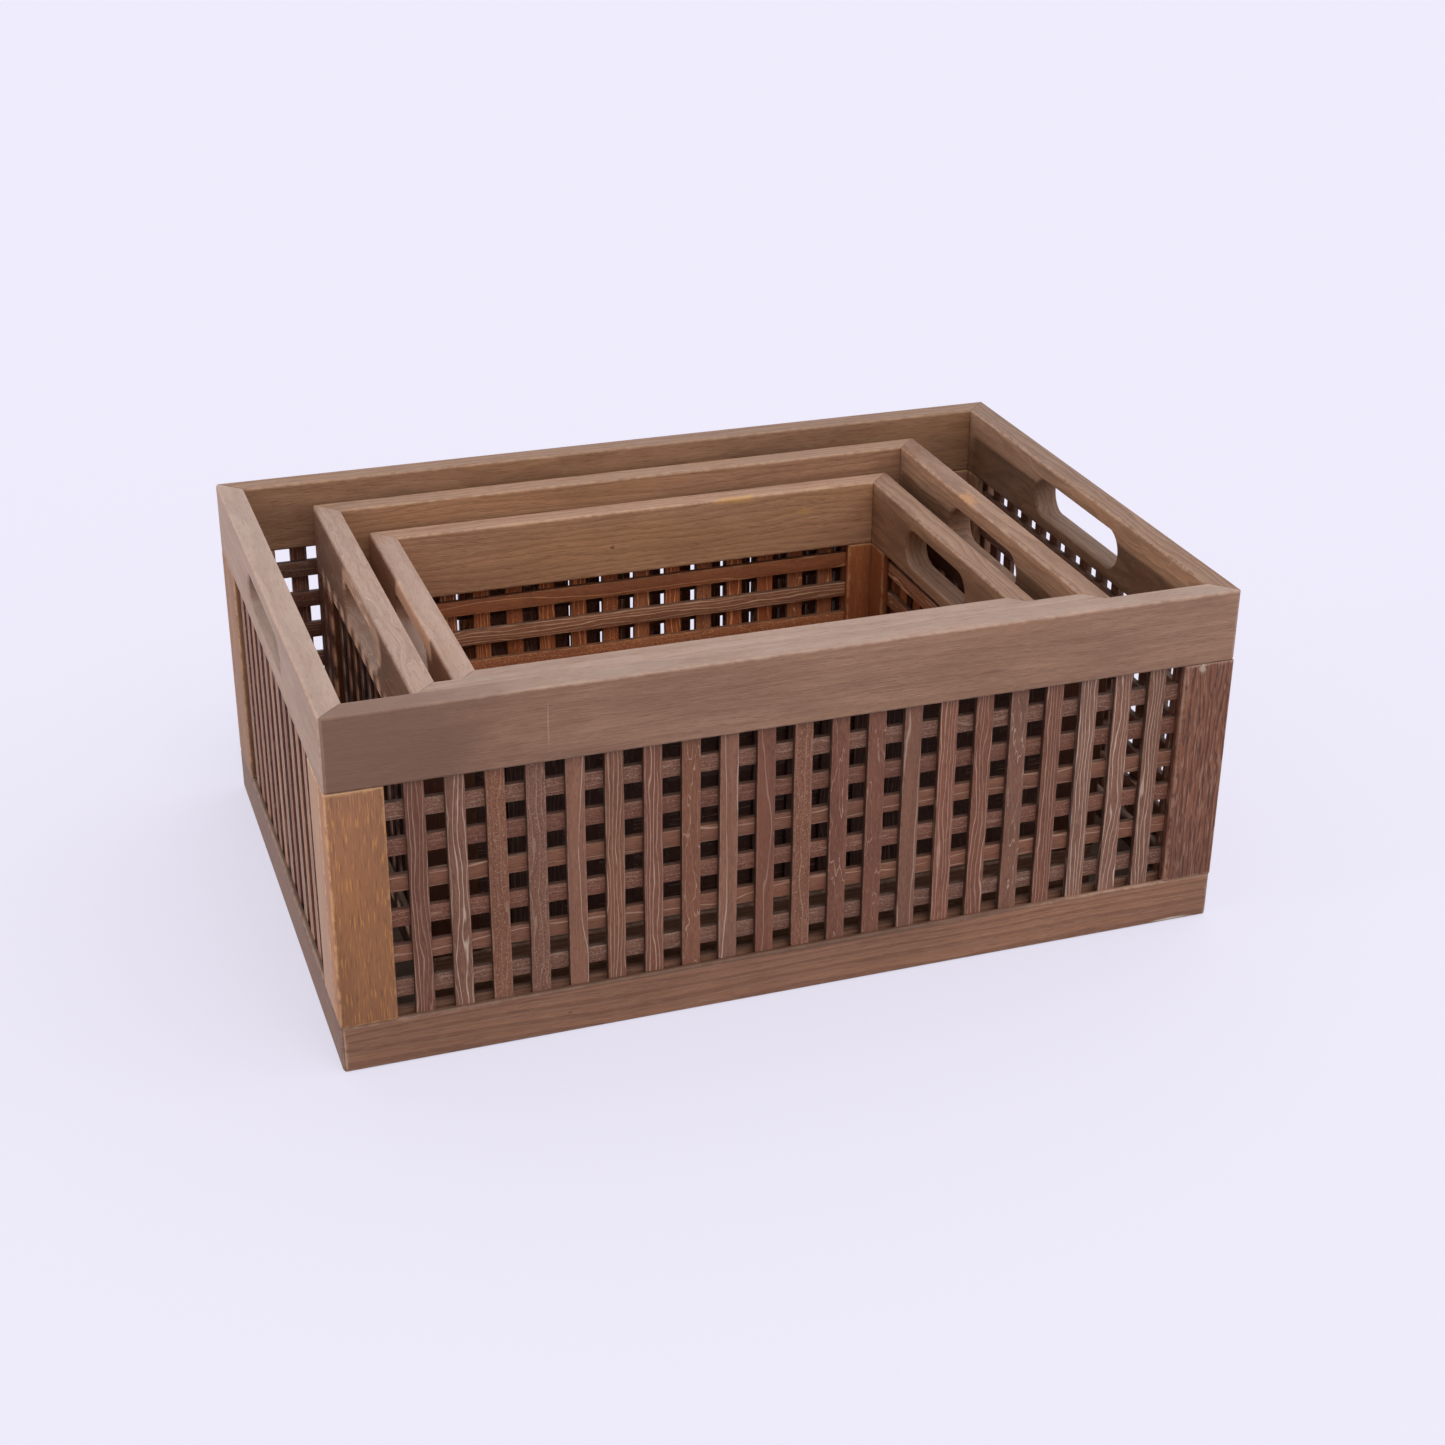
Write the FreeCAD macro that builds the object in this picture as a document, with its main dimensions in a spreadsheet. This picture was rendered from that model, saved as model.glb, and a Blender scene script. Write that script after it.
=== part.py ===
import FreeCAD, Part
import math
import os
from dataclasses import dataclass

import Sketcher

# A nest of three wooden crates: a large one holds a middle one, which holds a small one.
# Every crate is a mitred top rim over four corner posts and a mitred base frame. A thin
# lattice of upright slats and level bars fills each wall, with its ends let into grooves in
# the rim, the base and the posts. The two short rim boards have hand slots, and a floor
# panel lies in a groove of the base frame. The short walls of the large crate differ: one
# has a slat at its middle and narrow post boards, the other a gap and wide ones.
#
# Frame: millimetres, +Z up, +X along the long walls, +Y to the back wall. The origin is at
# the middle of the large crate's underside.

DRIVING_SIZES = {
    "board_thickness": 13.2,
    "rim_height": 37.3,
    "base_height": 24.3,
    "edge_round": 1.6,
    "corner_bevel": 2.0,
    "post_bevel": 1.0,
    "post_width": 27.0,
    "groove_depth": 5.0,
    "outer_lip": 2.6,
    "strip_thickness": 3.2,
    "strip_bevel": 0.5,
    "slat_width": 9.2,
    "bar_height": 9.0,
    "slat_pitch": 18.45,
    "bar_pitch": 18.5,
    "first_bar_gap": 8.0,
    "floor_thickness": 5.0,
    "floor_top": 10.0,
    "slot_height": 20.5,
    "slot_margin": 9.2,
    "slot_bevel": 1.0,
}

# The words after the crate's name in each alias, and their values for that crate.
CRATE_SIZES = {
    "large": {
        "length": 450, "width": 300, "height": 182.3, "centre_x": 0, "centre_y": 0,
        "long_slats": 21, "left_slats": 12, "right_slats": 13, "bars": 6,
        "left_board": 27, "right_board": 13.8, "slot_length": 96,
        "long_pitch": 18.45, "long_shift": 0, "far_bar_rise": 2.1,
    },
    "middle": {
        "length": 350, "width": 250, "height": 162, "centre_x": -2.5, "centre_y": 4.8,
        "long_slats": 16, "left_slats": 9, "right_slats": 9, "bars": 5,
        "left_board": 27, "right_board": 27, "slot_length": 84,
        "long_pitch": 17.3, "long_shift": 1.5, "far_bar_rise": 0,
    },
    "small": {
        "length": 300, "width": 200, "height": 139.5, "centre_x": -1, "centre_y": 12.8,
        "long_slats": 13, "left_slats": 7, "right_slats": 7, "bars": 4,
        "left_board": 17, "right_board": 17, "slot_length": 78,
        "long_pitch": 18.45, "long_shift": 1, "far_bar_rise": 0,
    },
}

SHEET_NAME = "Sizes"
TOLERANCE = 0.01


class Size:
    """A number together with the spreadsheet formula that drives it."""

    def __init__(self, value, formula=None):
        self.value = float(value)
        self.formula = formula or repr(value)

    def join(self, sign, other, value):
        return Size(value, f"({self.formula} {sign} {as_size(other).formula})")

    def __add__(self, other):
        return self.join("+", other, self.value + as_size(other).value)

    def __sub__(self, other):
        return self.join("-", other, self.value - as_size(other).value)

    def __mul__(self, other):
        return self.join("*", other, self.value * as_size(other).value)

    def __truediv__(self, other):
        return self.join("/", other, self.value / as_size(other).value)

    def __neg__(self):
        return self * -1


def as_size(number):
    return number if isinstance(number, Size) else Size(number)


ZERO = Size(0)


class Sizes:
    """The driving sizes, each read as an attribute such as sizes.board_thickness."""

    def __init__(self, doc):
        sheet = doc.addObject("Spreadsheet::Sheet", SHEET_NAME)
        values = dict(DRIVING_SIZES)
        for crate_name, crate_values in CRATE_SIZES.items():
            for word, value in crate_values.items():
                values[f"{crate_name}_{word}"] = value
        for row, (alias, value) in enumerate(values.items(), start=1):
            sheet.set(f"A{row}", alias)
            sheet.set(f"B{row}", str(value))
            sheet.setAlias(f"B{row}", alias)
            setattr(self, alias, Size(value, f"{SHEET_NAME}.{alias}"))
        doc.recompute()


@dataclass
class Crate:
    """One crate of the nest, with its sizes and where its underside stands."""

    name: str
    length: Size
    width: Size
    height: Size
    centre_x: Size
    centre_y: Size
    long_slats: Size
    left_slats: Size
    right_slats: Size
    bars: Size
    left_board: Size
    right_board: Size
    slot_length: Size
    long_pitch: Size
    long_shift: Size
    far_bar_rise: Size
    underside: Size


@dataclass
class Wall:
    """One wall: its outward direction, the turn that brings it there, and its sizes.

    slat_shift moves its slats along the wall, and bar_rise lifts its bars.
    """

    name: str
    turn: float
    out_x: int
    out_y: int
    length: Size
    leg: Size
    slats: Size
    slat_pitch: Size
    slat_shift: Size = ZERO
    bar_rise: Size = ZERO
    slot_length: object = None


# ---------------------------------------------------------------- drawing and building

def plane_of(body, role):
    for feature in body.Origin.OriginFeatures:
        if feature.Role == role:
            return feature
    raise RuntimeError(f"{body.Label} has no {role}")


def new_body(doc, label):
    body = doc.addObject("PartDesign::Body", label)
    body.Label = label
    return body


def new_sketch(body, role):
    sketch = body.newObject("Sketcher::SketchObject", f"{body.Name}_sketch")
    sketch.AttachmentSupport = (plane_of(body, role), [""])
    sketch.MapMode = "FlatFace"
    return sketch


def pin_point(sketch, geometry, end, x, y):
    """Holds one end of a line or arc at a place that formulas of the sheet give."""
    for kind, size in (("DistanceX", x), ("DistanceY", y)):
        constraint = Sketcher.Constraint(kind, -1, 1, geometry, end, size.value)
        index = sketch.addConstraint(constraint)
        sketch.setExpression(f"Constraints[{index}]", size.formula)


def draw_outline(sketch, corners):
    """Draws a closed outline of straight lines through the corners."""
    points = [FreeCAD.Vector(x.value, y.value) for x, y in corners]
    first = sketch.GeometryCount
    count = len(points)
    for step in range(count):
        line = Part.LineSegment(points[step], points[(step + 1) % count])
        sketch.addGeometry(line, False)
    for step, (x, y) in enumerate(corners):
        before = first + (step - 1) % count
        sketch.addConstraint(Sketcher.Constraint("Coincident", before, 2, first + step, 1))
        pin_point(sketch, first + step, 1, x, y)


def draw_slot(sketch, length, height, middle):
    """Draws a slot with half-round ends, centred on x = 0 at the height middle."""
    reach = length.value / 2 - height.value / 2
    radius = height.value / 2
    low = middle.value - radius
    high = middle.value + radius
    normal = FreeCAD.Vector(0, 0, 1)
    quarter = math.pi / 2

    def arc(x, start):
        centre = FreeCAD.Vector(x, middle.value)
        circle = Part.Circle(centre, normal, radius)
        return Part.ArcOfCircle(circle, start, start + 2 * quarter)

    bottom = Part.LineSegment(FreeCAD.Vector(-reach, low), FreeCAD.Vector(reach, low))
    top = Part.LineSegment(FreeCAD.Vector(reach, high), FreeCAD.Vector(-reach, high))
    for shape in (bottom, arc(reach, -quarter), top, arc(-reach, quarter)):
        sketch.addGeometry(shape, False)
    for before, after in ((0, 1), (1, 2), (2, 3), (3, 0)):
        sketch.addConstraint(Sketcher.Constraint("Tangent", before, 2, after, 1))
    half = (length - height) / 2
    pin_point(sketch, 1, 3, half, middle)
    pin_point(sketch, 3, 3, -half, middle)
    radius_index = sketch.addConstraint(Sketcher.Constraint("Radius", 1, radius))
    sketch.setExpression(f"Constraints[{radius_index}]", (height / 2).formula)


def pad(body, sketch, length, symmetric=False):
    feature = body.newObject("PartDesign::Pad", f"{body.Name}_pad")
    feature.Profile = sketch
    feature.Midplane = symmetric
    feature.Length = length.value
    feature.setExpression("Length", length.formula)
    body.Document.recompute()
    return feature


def cut_through(body, sketch):
    """Cuts the sketch right through the body, and stops if that removed nothing."""
    before = body.Shape.Volume
    feature = body.newObject("PartDesign::Pocket", f"{body.Name}_cut")
    feature.Profile = sketch
    feature.Midplane = True
    feature.Type = "ThroughAll"
    body.Document.recompute()
    if body.Shape.Volume > before - TOLERANCE:
        raise RuntimeError(f"the cut of {body.Label} removed nothing")
    return feature


def near(number, *targets):
    return any(abs(number - target) < TOLERANCE for target in targets)


def ease_edges(body, feature_kind, size_name, size, wanted):
    """Rounds or bevels every edge of the body whose box the test wanted(box) accepts."""
    base = body.Tip
    names = []
    for number, edge in enumerate(base.Shape.Edges, start=1):
        if wanted(edge.BoundBox):
            names.append(f"Edge{number}")
    if not names:
        raise RuntimeError(f"{body.Label} has no edge to ease")
    feature = body.newObject(feature_kind, f"{body.Name}_ease")
    feature.Base = (base, names)
    setattr(feature, size_name, size.value)
    feature.setExpression(size_name, size.formula)
    body.Document.recompute()


def round_edges(body, radius, wanted):
    ease_edges(body, "PartDesign::Fillet", "Radius", radius, wanted)


def bevel_edges(body, size, wanted):
    ease_edges(body, "PartDesign::Chamfer", "Size", size, wanted)


def repeat(body, feature, axis, span, count):
    """Repeats a feature along an axis of its own sketch, as separate solids."""
    sketch = feature.Profile[0]
    pattern = body.newObject("PartDesign::LinearPattern", f"{body.Name}_pattern")
    pattern.Originals = [feature]
    pattern.Direction = (sketch, [axis])
    pattern.Length = span.value
    pattern.setExpression("Length", span.formula)
    pattern.Occurrences = int(count.value)
    pattern.setExpression("Occurrences", count.formula)
    body.Tip = pattern
    body.Document.recompute()


def place(body, x, y, z, turn=0):
    turned = FreeCAD.Rotation(FreeCAD.Vector(0, 0, 1), turn)
    body.Placement = FreeCAD.Placement(FreeCAD.Vector(x.value, y.value, z.value), turned)
    for axis, size in (("x", x), ("y", y), ("z", z)):
        body.setExpression(f"Placement.Base.{axis}", size.formula)


def place_on_wall(body, crate, wall, height):
    """Puts a body drawn in a wall's own frame (x along it, y inwards) on that wall."""
    x = crate.centre_x + crate.length * (wall.out_x / 2)
    y = crate.centre_y + crate.width * (wall.out_y / 2)
    place(body, x, y, crate.underside + height, wall.turn)


# ---------------------------------------------------------------------- frame boards

def mitre_ends(body, length, thickness, bevel):
    """Cuts both ends at 45 degrees and takes off this board's half of the corner's arris."""
    sketch = new_sketch(body, "XY_Plane")
    for hand in (1, -1):
        tip = length * (hand / 2)
        inner = tip - thickness * hand
        draw_outline(sketch, [
            (tip - bevel * hand, ZERO), (tip, ZERO), (tip, thickness), (inner, thickness),
            (tip - bevel * (hand / 2), bevel / 2),
        ])
    cut_through(body, sketch)


def frame_board(doc, label, wall, sizes, section, height):
    """Makes one mitred board from its section, with its four long edges rounded."""
    body = new_body(doc, label)
    sketch = new_sketch(body, "YZ_Plane")
    draw_outline(sketch, section)
    pad(body, sketch, wall.length, symmetric=True)
    mitre_ends(body, wall.length, sizes.board_thickness, sizes.corner_bevel)

    def outer_corner(box):
        along = box.XLength > wall.length.value / 2
        on_side = near(box.YMin, 0, sizes.board_thickness.value) and box.YLength < TOLERANCE
        on_end = near(box.ZMin, 0, height.value) and box.ZLength < TOLERANCE
        return along and on_side and on_end

    round_edges(body, sizes.edge_round, outer_corner)
    return body


def rim_board(doc, crate, wall, sizes):
    """A top rim board, grooved below for the slats, with a hand slot on a short wall."""
    lip = sizes.outer_lip
    groove_back = lip + sizes.strip_thickness * 2
    thickness = sizes.board_thickness
    height = sizes.rim_height
    section = [
        (ZERO, ZERO), (lip, ZERO), (lip, sizes.groove_depth),
        (groove_back, sizes.groove_depth), (groove_back, ZERO), (thickness, ZERO),
        (thickness, height), (ZERO, height),
    ]
    body = frame_board(doc, f"{crate.name}_rim_{wall.name}", wall, sizes, section, height)
    if wall.slot_length:
        middle = height - sizes.slot_margin - sizes.slot_height / 2
        sketch = new_sketch(body, "XZ_Plane")
        draw_slot(sketch, wall.slot_length, sizes.slot_height, middle)
        cut_through(body, sketch)
        reach = wall.slot_length.value / 2 + TOLERANCE

        def slot_edge(box):
            on_face = near(box.YMin, 0, thickness.value) and box.YLength < TOLERANCE
            low = box.ZMin > middle.value - sizes.slot_height.value / 2 - TOLERANCE
            high = box.ZMax < middle.value + sizes.slot_height.value / 2 + TOLERANCE
            return on_face and low and high and box.XMin > -reach and box.XMax < reach

        bevel_edges(body, sizes.slot_bevel, slot_edge)
    place_on_wall(body, crate, wall, crate.height - height)
    return body


def base_rail(doc, crate, wall, sizes):
    """A base rail, grooved on top for the slats and inside for the floor panel."""
    lip = sizes.outer_lip
    groove_back = lip + sizes.strip_thickness * 2
    thickness = sizes.board_thickness
    height = sizes.base_height
    seat = height - sizes.groove_depth
    rebate = thickness - sizes.groove_depth
    floor_bottom = sizes.floor_top - sizes.floor_thickness
    section = [
        (ZERO, ZERO), (thickness, ZERO), (thickness, floor_bottom), (rebate, floor_bottom),
        (rebate, sizes.floor_top), (thickness, sizes.floor_top), (thickness, height),
        (groove_back, height), (groove_back, seat), (lip, seat), (lip, height), (ZERO, height),
    ]
    body = frame_board(doc, f"{crate.name}_base_{wall.name}", wall, sizes, section, height)
    place_on_wall(body, crate, wall, ZERO)
    return body


def floor_panel(doc, crate, sizes):
    """The floor, held all round in the grooves of the base rails."""
    body = new_body(doc, f"{crate.name}_floor_panel")
    inset = sizes.board_thickness - sizes.groove_depth
    half_x = crate.length / 2 - inset
    half_y = crate.width / 2 - inset
    sketch = new_sketch(body, "XY_Plane")
    draw_outline(sketch, [(-half_x, -half_y), (half_x, -half_y), (half_x, half_y), (-half_x, half_y)])
    pad(body, sketch, sizes.floor_thickness)
    bottom = crate.underside + sizes.floor_top - sizes.floor_thickness
    place(body, crate.centre_x, crate.centre_y, bottom)
    return body


# --------------------------------------------------------------------------- posts

def post_board(doc, label, crate, sizes, outline, corner):
    """One upright board of a corner post, from its outline in plan."""
    body = new_body(doc, label)
    sketch = new_sketch(body, "XY_Plane")
    draw_outline(sketch, outline)
    height = crate.height - sizes.rim_height - sizes.base_height
    pad(body, sketch, height)
    xs = [x.value for x, y in outline]
    ys = [y.value for x, y in outline]

    def upright_corner(box):
        upright = box.ZLength > height.value / 2
        at_x = near(box.XMin, min(xs), max(xs))
        at_y = near(box.YMin, min(ys), max(ys))
        return upright and at_x and at_y

    bevel_edges(body, sizes.post_bevel, upright_corner)
    x, y, turn = corner
    place(body, x, y, crate.underside + sizes.base_height, turn)
    return body


def corner_post(doc, crate, sizes, name, out_x, out_y):
    """An L-shaped post of two boards: one on the long wall covers the end of the other.

    Both are grooved on their free upright edge for the ends of the bars. The boards are
    drawn from the crate's outer corner, and hand mirrors them for the other two corners.
    """
    hand = 1 if out_x == out_y else -1
    thickness = sizes.board_thickness
    near_bar = sizes.outer_lip + sizes.strip_thickness
    far_bar = near_bar + sizes.strip_thickness
    width = sizes.post_width
    leg = thickness + (crate.left_board if out_x < 0 else crate.right_board)
    seat = width - sizes.groove_depth
    side_seat = leg - sizes.groove_depth
    face_outline = [
        (ZERO, ZERO), (width, ZERO), (width, near_bar), (seat, near_bar),
        (seat, far_bar), (width, far_bar), (width, thickness), (ZERO, thickness),
    ]
    side_outline = [
        (ZERO, thickness), (thickness, thickness), (thickness, leg), (far_bar, leg),
        (far_bar, side_seat), (near_bar, side_seat), (near_bar, leg), (ZERO, leg),
    ]
    x = crate.centre_x + crate.length * (out_x / 2)
    y = crate.centre_y + crate.width * (out_y / 2)
    turn = 0 if out_y < 0 else 180
    boards = []
    for word, outline in (("face_board", face_outline), ("side_board", side_outline)):
        mirrored = [(across * hand, inward) for across, inward in outline]
        label = f"{crate.name}_{word}_{name}"
        boards.append(post_board(doc, label, crate, sizes, mirrored, (x, y, turn)))
    return gather(doc, f"{crate.name}_post_{name}", boards)


def gather(doc, label, members):
    """Holds several solids of one kind together as one node, without fusing them."""
    group = doc.addObject("Part::Compound", label)
    group.Label = label
    group.Links = members
    doc.recompute()
    return group


# ------------------------------------------------------------------------- lattice

def slat_group(doc, crate, wall, sizes):
    """The upright slats of a wall, seated in the rim above and the base rail below."""
    body = new_body(doc, f"{crate.name}_slats_{wall.name}")
    half = sizes.slat_width / 2
    front = sizes.outer_lip
    back = front + sizes.strip_thickness
    bevel = sizes.strip_bevel
    first = (wall.slats - 1) * wall.slat_pitch * -0.5 + wall.slat_shift
    outline = [
        (first - half, front + bevel), (first - half + bevel, front),
        (first + half - bevel, front), (first + half, front + bevel),
        (first + half, back), (first - half, back),
    ]
    sketch = new_sketch(body, "XY_Plane")
    draw_outline(sketch, outline)
    opening = crate.height - sizes.rim_height - sizes.base_height
    upright = pad(body, sketch, opening + sizes.groove_depth * 2)
    repeat(body, upright, "H_Axis", (wall.slats - 1) * wall.slat_pitch, wall.slats)
    place_on_wall(body, crate, wall, sizes.base_height - sizes.groove_depth)
    return body


def bar_group(doc, crate, wall, sizes):
    """The level bars of a wall, behind its slats and seated in its two posts."""
    body = new_body(doc, f"{crate.name}_bars_{wall.name}")
    front = sizes.outer_lip + sizes.strip_thickness
    back = front + sizes.strip_thickness
    bevel = sizes.strip_bevel
    low = sizes.first_bar_gap + wall.bar_rise
    high = low + sizes.bar_height
    section = [
        (front, low), (back - bevel, low), (back, low + bevel),
        (back, high - bevel), (back - bevel, high), (front, high),
    ]
    sketch = new_sketch(body, "YZ_Plane")
    draw_outline(sketch, section)
    length = wall.length - wall.leg * 2 + sizes.groove_depth * 2
    level = pad(body, sketch, length, symmetric=True)
    repeat(body, level, "V_Axis", (crate.bars - 1) * sizes.bar_pitch, crate.bars)
    place_on_wall(body, crate, wall, sizes.base_height)
    return body


# ------------------------------------------------------------------------- crates

def walls_of(crate, sizes):
    """Lists the walls. The bars of the far walls, back and right, can stand higher."""
    long_values = (crate.length, sizes.post_width, crate.long_slats, crate.long_pitch)
    left_leg = sizes.board_thickness + crate.left_board
    left_values = (crate.width, left_leg, crate.left_slats, sizes.slat_pitch)
    right_leg = sizes.board_thickness + crate.right_board
    right_values = (crate.width, right_leg, crate.right_slats, sizes.slat_pitch)
    shift = crate.long_shift
    rise = crate.far_bar_rise
    slot = crate.slot_length
    return [
        Wall("front", 0, 0, -1, *long_values, slat_shift=shift),
        Wall("right", 90, 1, 0, *right_values, bar_rise=rise, slot_length=slot),
        Wall("back", 180, 0, 1, *long_values, slat_shift=-shift, bar_rise=rise),
        Wall("left", 270, -1, 0, *left_values, slot_length=slot),
    ]


def build_crate(doc, crate, sizes):
    """Builds every piece of one crate and returns the objects that are its nodes."""
    pieces = [floor_panel(doc, crate, sizes)]
    bars = {"long": [], "short": []}
    for wall in walls_of(crate, sizes):
        pieces.append(base_rail(doc, crate, wall, sizes))
        pieces.append(slat_group(doc, crate, wall, sizes))
        pieces.append(rim_board(doc, crate, wall, sizes))
        kind = "long" if wall.out_x == 0 else "short"
        bars[kind].append(bar_group(doc, crate, wall, sizes))
    for kind, groups in bars.items():
        pieces.append(gather(doc, f"{crate.name}_bars_{kind}", groups))
    for level, out_y in (("front", -1), ("back", 1)):
        for hand, out_x in (("left", -1), ("right", 1)):
            pieces.append(corner_post(doc, crate, sizes, f"{level}_{hand}", out_x, out_y))
    return pieces


def check_document(doc, pieces):
    """Stops when anything in the document failed or a piece isn't made of sound solids."""
    for item in doc.Objects:
        if "Invalid" in item.State or "Error" in item.State:
            raise RuntimeError(f"{item.Label} failed: {item.State}")
    for piece in pieces:
        if piece.Shape.isNull() or not piece.Shape.isValid() or not piece.Shape.Solids:
            raise RuntimeError(f"{piece.Label} is not a valid shape")


def main():
    doc = FreeCAD.newDocument("nesting_crates")
    sizes = Sizes(doc)
    pieces = []
    underside = ZERO
    for name in CRATE_SIZES:
        values = {word: getattr(sizes, f"{name}_{word}") for word in CRATE_SIZES[name]}
        crate = Crate(name=name, underside=underside, **values)
        pieces.extend(build_crate(doc, crate, sizes))
        underside = underside + sizes.floor_top
    doc.recompute()
    check_document(doc, pieces)
    os.makedirs("parts", exist_ok=True)
    for piece in pieces:
        piece.Shape.exportStep(f"parts/{piece.Label}.step")
    print(f"{len(pieces)} nodes, {sum(len(piece.Shape.Solids) for piece in pieces)} solids")


main()
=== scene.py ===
"""A nest of three wooden crates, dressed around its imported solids."""

import logging
import math
import random
from contextlib import contextmanager
from dataclasses import dataclass, field, replace
from enum import Enum
from typing import Iterator, Optional, Sequence, Union

import bmesh
import bpy
from mathutils import Euler, Matrix, Vector, noise


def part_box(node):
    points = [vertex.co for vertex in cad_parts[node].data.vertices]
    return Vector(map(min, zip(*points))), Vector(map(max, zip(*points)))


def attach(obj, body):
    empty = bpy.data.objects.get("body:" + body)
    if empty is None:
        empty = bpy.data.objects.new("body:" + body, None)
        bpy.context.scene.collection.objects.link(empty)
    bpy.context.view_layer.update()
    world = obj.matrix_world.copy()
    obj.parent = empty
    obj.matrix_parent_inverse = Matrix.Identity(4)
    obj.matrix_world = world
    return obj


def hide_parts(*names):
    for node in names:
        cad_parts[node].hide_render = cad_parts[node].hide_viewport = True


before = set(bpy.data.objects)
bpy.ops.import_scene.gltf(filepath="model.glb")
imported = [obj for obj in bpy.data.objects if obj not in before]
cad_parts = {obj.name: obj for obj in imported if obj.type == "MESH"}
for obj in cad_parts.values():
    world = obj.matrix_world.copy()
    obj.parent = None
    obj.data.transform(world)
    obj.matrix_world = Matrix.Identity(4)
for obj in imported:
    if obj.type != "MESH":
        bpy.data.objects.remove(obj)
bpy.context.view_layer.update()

LOG = logging.getLogger("crates")

Triple = tuple[float, float, float]
Colour = Triple
Piece = bpy.types.Object
Socket = bpy.types.NodeSocket
Sockets = bpy.types.bpy_prop_collection
Source = Union[Socket, float, Sequence[float]]
Box = tuple[Vector, Vector]

MM = 0.001
ORIGIN = (0.0, 0.0, 0.0)
WELD = 0.004 * MM
CREASE = math.radians(40)
FLAT = math.radians(0.5)
JUST_INSIDE = 0.1 * MM


# Choices

class Axis(Enum):
    """The direction in which a board's grain runs."""

    X = 0
    Y = 1
    Z = 2

    def across(self, size: Vector) -> tuple[int, int]:
        """Returns which ways a piece of this size is wide and thin, when it runs this way."""
        thin, wide = sorted((way for way in range(3) if way != self.value),
                            key=lambda way: size[way])
        return wide, thin


class Side(Enum):
    """A wall of a crate, with the direction its boards run."""

    FRONT = ("front", Axis.X)
    BACK = ("back", Axis.X)
    LEFT = ("left", Axis.Y)
    RIGHT = ("right", Axis.Y)

    @property
    def word(self) -> str:
        """The wall's word in the node names."""
        return self.value[0]

    @property
    def run(self) -> Axis:
        """The direction along the wall."""
        return self.value[1]


class Figure(Enum):
    """The kinds of figure that the lattice strips show."""

    FINE = "fine"
    BOLD = "bold"
    PLAIN = "plain"
    FLECKED = "flecked"
    CURLED = "curled"


class Tone(Enum):
    """How a strip's colour differs from the middle one of its kind."""

    GREY = (0.98, 1.00, 1.00)
    RED = (0.90, 0.79, 0.75)
    WARM = (1.04, 0.97, 0.88)
    PALE = (1.16, 1.22, 1.24)
    ORANGE = (1.36, 0.86, 0.44)
    AMBER = (1.42, 1.08, 0.66)
    TAN = (1.30, 1.18, 0.94)


def box_around(places: Sequence[Vector]) -> Box:
    """Returns the lowest and highest corners of the box around some places."""
    return tuple(Vector([pick(place[i] for place in places) for i in range(3)])
                 for pick in (min, max))


def middle_and_half(box: Box) -> Box:
    """Returns the middle of a box and half of its size."""
    low, high = box
    return (low + high) / 2, (high - low) / 2


# Node graphs

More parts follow.
